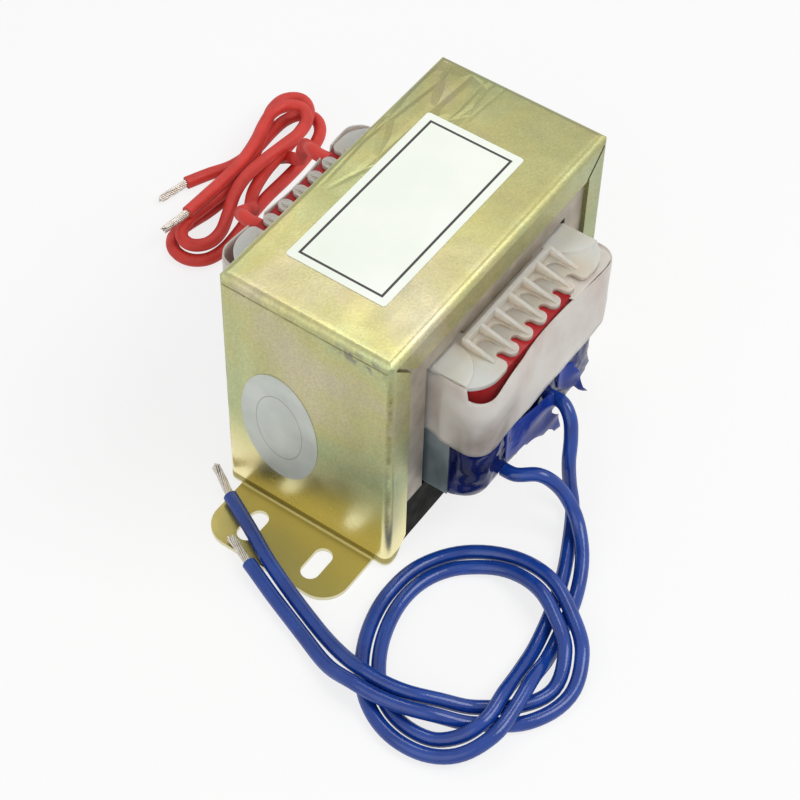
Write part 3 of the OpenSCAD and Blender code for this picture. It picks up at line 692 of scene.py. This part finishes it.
def translucent_film(name, thin, thick, through, clear, rough):
    """Polyester film: the layers under it show through, most where it lies flat on them, and
    each wrinkle catches the light."""
    mat, coord = finish_named(name)
    x, y, z = add(mat, "SeparateXYZ", {0: coord}).outputs
    colour = add(mat, "Mix", {"Factor": grains(mat, coord, 11, 3), "A": linear(thin),
                              "B": linear(thick)}, data_type="RGBA")
    touching = add(mat, "MapRange", {"Value": grains(mat, coord, 9, 2, stretch=(1, 1, 0.6)),
                                     "From Min": 0.45, "From Max": 1.0, "To Max": 0.6})
    colour = add(mat, "Mix", {"Factor": touching, "A": colour, "B": linear(through)},
                 data_type="RGBA")
    # Darker grey blotches at one lower corner
    grey_blotch = product(mat, within(mat, x, -40, -15, 3), within(mat, y, -45, -30, 2),
                     within(mat, z, 30, 47, 3), grains(mat, coord, 7, 2, 0.35, 0.85))
    colour = add(mat, "Mix", {"Factor": grey_blotch, "A": colour, "B": linear("#8c7f73")},
                 data_type="RGBA")
    wrinkle = grains(mat, coord, 5, 4, stretch=(1, 1, 0.6))
    bump = add(mat, "Bump", {"Height": wrinkle, "Strength": 0.3, "Distance": 0.3 * MM})
    return surface(mat, Base_Color=colour, Roughness=rough, IOR=1.5,
                   Transmission_Weight=clear, Normal=bump)


def coloured_tape(name, dark, light, creases):
    """Polyester winding tape: deep glossy colour, with sharp creases where it is crumpled."""
    mat, coord = finish_named(name)
    cloud = grains(mat, coord, 8, 3)
    colour = add(mat, "Mix", {"Factor": cloud, "A": linear(dark), "B": linear(light)},
                 data_type="RGBA")
    # Creases round patches 8 mm wide, and finer wrinkles
    folds = add(mat, "TexVoronoi", {
        "Vector": add(mat, "Mapping", {"Vector": coord, "Rotation": (0.4, 0.5, 0.3),
                                       "Scale": (1, 1, 0.5)}),
        "Scale": 130})
    fine = grains(mat, coord, 3.2, 3)
    bump = add(mat, "Bump", {"Height": folds, "Strength": creases, "Distance": 0.9 * MM})
    bump = add(mat, "Bump", {"Height": fine, "Strength": creases * 0.6,
                             "Distance": 0.25 * MM, "Normal": bump})
    return surface(mat, Base_Color=colour, Roughness=0.16, IOR=1.42, Specular_IOR_Level=0.2,
                   Normal=bump)


def lead_insulation(name, body, dull, rough, shine):
    """Extruded PVC: even colour, slightly waxy, with faint dull patches from handling."""
    mat, coord = finish_named(name)
    colour = add(mat, "Mix", {"Factor": grains(mat, coord, 6, 3), "A": linear(body),
                              "B": linear(dull)}, data_type="RGBA")
    bump = add(mat, "Bump", {"Height": grains(mat, coord, 1.6, 3), "Strength": 0.3,
                             "Distance": 0.06 * MM})
    # Seen along its length, waxy PVC is matt and not mirror-like
    edge = add(mat, "MapRange", {"Value": add(mat, "LayerWeight").outputs["Facing"],
                                 "From Min": 0.65, "From Max": 0.85})
    satin = add(mat, "Mix", {"Factor": edge, "B": 1.0,
                             "A": grains(mat, coord, 5, 2, rough, rough + 0.12)})
    return surface(mat, Base_Color=colour, IOR=1.52, Specular_IOR_Level=shine, Normal=bump,
                   Roughness=satin)


def tinned_wire():
    """Tinned copper strands: soft grey with a warm cast where the tin is thin."""
    mat, coord = finish_named("tinned_copper_wire")
    colour = add(mat, "Mix", {"Factor": grains(mat, coord, 1.5, 2), "A": linear("#d6d2cc"),
                              "B": linear("#c0b7aa")}, data_type="RGBA")
    return surface(mat, Base_Color=colour, Metallic=1.0, Roughness=0.38)


def enamelled_wire():
    """Enamelled copper wire 0.6 mm thick, wound side by side: glossy brown-orange rows, drawn 1.2
    mm apart, with painted shade between the rows and a painted highlight along each."""
    mat, coord = finish_named("enamelled_copper_wire")
    rows = add(mat, "TexWave", {"Vector": coord, "Scale": wave_scale(1.2)}, bands_direction="Z")
    # Painted shade and highlight: each row is drawn dark at its edges and light along its crest
    colour = add(mat, "Mix", {"Factor": rows, "A": linear("#5f2c14"), "B": linear("#b2622f")},
                 data_type="RGBA")
    bump = add(mat, "Bump", {"Height": rows, "Strength": 0.6, "Distance": 0.2 * MM})
    return surface(mat, Base_Color=colour, Metallic=0.8, Roughness=0.3, Normal=bump)


def glass_sleeve():
    """Varnished glass-fibre sleeving over the joints: black, woven 0.4 mm across."""
    mat, coord = finish_named("varnished_sleeving")
    weave = grains(mat, coord, 0.5, 1)
    colour = add(mat, "Mix", {"Factor": weave, "A": linear("#161616"), "B": linear("#302e2c")},
                 data_type="RGBA")
    bump = add(mat, "Bump", {"Height": weave, "Strength": 0.5, "Distance": 0.1 * MM})
    return surface(mat, Base_Color=colour, Roughness=0.5, Normal=bump)


def bordered_paper():
    """Coated label paper, printed with one black line round its edge and left blank inside."""
    mat, coord = finish_named("coated_label_paper")
    x, y, z = add(mat, "SeparateXYZ", {0: coord}).outputs
    low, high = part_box("rating_label")
    middle = (low + high) / 2 / MM
    half = (high - low) / 2 / MM
    # The line's distance from the edge of the label, and its width
    inset, line = 2.0, 0.65
    masks = []
    for reach in (inset, inset + line):
        side = [within(mat, value, middle[k] - half[k] + reach, middle[k] + half[k] - reach,
                       0.04) for k, value in ((0, x), (1, y))]
        masks.append(product(mat, *side))
    ink = add(mat, "Math", {0: masks[0], 1: masks[1]}, operation="SUBTRACT", use_clamp=True)
    sheet = add(mat, "Mix", {"Factor": grains(mat, coord, 14, 3), "A": linear("#f0f7ea"),
                             "B": linear("#f9fcf4")}, data_type="RGBA")
    colour = add(mat, "Mix", {"Factor": ink, "A": sheet, "B": linear("#23221f")},
                 data_type="RGBA")
    bump = add(mat, "Bump", {"Height": grains(mat, coord, 6, 3), "Strength": 0.2,
                             "Distance": 0.12 * MM})
    return surface(mat, Base_Color=colour, Roughness=0.42, Normal=bump)


def brushed_foil():
    """Silver label foil: grey with a fine grain, one thin printed ring and a blank middle."""
    mat, coord = finish_named("silver_label_foil")
    low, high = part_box("oval_sticker")
    middle = (low + high) / 2
    # Distance from the middle as a share of the oval's half axes
    oval = add(mat, "Mapping", {
        "Vector": add(mat, "Mapping", {"Vector": coord, "Location": (0, -middle.y, -middle.z)}),
        "Scale": (0, 2 / (high.y - low.y), 2 / (high.z - low.z))})
    reach = add(mat, "VectorMath", {0: oval}, operation="LENGTH").outputs["Value"]
    aside = add(mat, "Math", {0: reach, 1: 0.60}, operation="SUBTRACT")
    aside = add(mat, "Math", {0: aside}, operation="ABSOLUTE")
    ring = add(mat, "MapRange", {"Value": aside, "From Min": 0.012, "From Max": 0.006,
                                 "To Max": 0.5})
    shade = add(mat, "Mix", {"Factor": grains(mat, coord, 10, 3), "A": linear("#b6bbb4"),
                             "B": linear("#c9cec7")}, data_type="RGBA")
    colour = add(mat, "Mix", {"Factor": ring, "A": shade, "B": linear("#5d605c")},
                 data_type="RGBA")
    grain = grains(mat, coord, 0.6, 1)
    bump = add(mat, "Bump", {"Height": grain, "Strength": 0.2, "Distance": 0.04 * MM})
    return surface(mat, Base_Color=colour, Metallic=0.55, Roughness=0.42, Normal=bump)


# Each finish and the pieces that wear it
FINISHES = (
    (chromated_steel(), ["bracket"]),
    # The same steel sheets twice: the core's colours are lightened as painted light, and the yoke's
    # are painted almost black as shade
    (varnished_sheets("painted_light_core_sheets", "#bdb4a5", "#9b9284", 0.4, 0.3),
     ["e_laminations"]),
    (varnished_sheets("painted_shade_yoke_sheets", "#1a1915", "#0e0d0b", 0.0, 0.03),
     ["i_laminations"]),
    (milky_plastic(), ["coil_former"]),
    (translucent_film("white_polyester_film", "#e6dfd6", "#f4f0e9", "#dcc8bf", 0.34, 0.36),
     ["white_wrap", "film_lap"]),
    (translucent_film("grey_liner_film", "#74838a", "#9aa8ad", "#5c686e", 0.3, 0.22),
     ["liner_left", "liner_right"]),
    (coloured_tape("red_polyester_tape", "#a02226", "#b93035", 0.15), ["primary_tape"]),
    (coloured_tape("blue_polyester_tape", "#070f3c", "#0d1f68", 0.42), ["blue_tape"]),
    (coloured_tape("torn_blue_tape", "#0c2478", "#163a9c", 0.28),
     ["tape_end_upper", "tape_end_lower"]),
    (enamelled_wire(), ["primary_winding", "secondary_winding"]),
    (glass_sleeve(), ["primary_splices", "secondary_splices"]),
    (bordered_paper(), ["rating_label"]),
    (brushed_foil(), ["oval_sticker"]),
    (lead_insulation("red_pvc_insulation", "#de453c", "#c63a33", 0.40, 0.3),
     ["red_1", "red_2"]),
    (lead_insulation("blue_pvc_insulation", "#0f3688", "#17449c", 0.12, 0.45),
     ["blue_1", "blue_2"]),
    (tinned_wire(),
     ["blue_1_strands", "blue_2_strands", "red_1_strands", "red_2_strands"]))
for finish, names in FINISHES:
    for name in names:
        holder = bpy.data.objects[name].data
        holder.materials.clear()
        holder.materials.append(finish)


# ---------------------------------------------------------------- floor and light

def seen_directly(owner, path):
    """Mask that is 1 for rays from the camera, from glossy surfaces and through clear ones."""
    seen = add(owner, "Math", {0: path.outputs["Is Camera Ray"],
                               1: path.outputs["Is Glossy Ray"]},
               operation="ADD", use_clamp=True)
    return add(owner, "Math", {0: seen, 1: path.outputs["Is Transmission Ray"]},
               operation="ADD", use_clamp=True)


maker = bmesh.new()
bmesh.ops.create_circle(maker, cap_ends=True, segments=96, radius=3.0)
floor_data = bpy.data.meshes.new("floor")
maker.to_mesh(floor_data)
maker.free()
floor = bpy.data.objects.new("floor", floor_data)
scene.collection.objects.link(floor)

# Matt white to the light that bounces off it, and mostly a white glow where it is seen, so that
# its shadows stay faint
pale = bpy.data.materials.new("pale_floor")
pale.use_nodes = True
pale.node_tree.nodes.clear()
path = add(pale, "LightPath")
share = add(pale, "MapRange", {"Value": path.outputs["Is Camera Ray"], "To Min": 0.9,
                               "To Max": 0.78})
share = product(pale, seen_directly(pale, path), share)
matt = add(pale, "BsdfDiffuse", {"Color": linear("#f4f4f4")})
glow = add(pale, "Emission", {"Color": (1, 1, 1, 1), "Strength": 1.0})
both = add(pale, "MixShader", {0: share, 1: matt, 2: glow})
add(pale, "OutputMaterial", {"Surface": both})
floor_data.materials.append(pale)

# A studio that is white where it is seen, and less than half as bright to matt surfaces
world = bpy.data.worlds.new("studio")
scene.world = world
world.use_nodes = True
world.node_tree.nodes.clear()
soft = add(world, "Background", {"Color": (1, 1, 1, 1), "Strength": 0.42})
white = add(world, "Background", {"Color": (1, 1, 1, 1), "Strength": 1.0})
seen = seen_directly(world, add(world, "LightPath"))
both = add(world, "MixShader", {0: seen, 1: soft, 2: white})
add(world, "OutputWorld", {"Surface": both})


def softbox(name, place, target, size, power):
    """A round lamp aimed at a target: places and size in metres, power in watts."""
    data = bpy.data.lights.new(name, "AREA")
    data.shape = "DISK"
    data.size = size
    data.energy = power
    lamp = bpy.data.objects.new(name, data)
    aim = (Vector(target) - Vector(place)).to_track_quat("-Z", "Y")
    lamp.matrix_world = Matrix.Translation(place) @ aim.to_matrix().to_4x4()
    scene.collection.objects.link(lamp)


softbox("key", (0.25, -0.55, 0.85), (0, 0, 0.03), 0.6, 4.6)
softbox("fill", (-0.8, -0.1, 0.55), (0, 0, 0.03), 1.0, 2.4)
softbox("sheen", (0.42, 0.29, 0.93), (0, 0, 0.07), 0.34, 1.15)
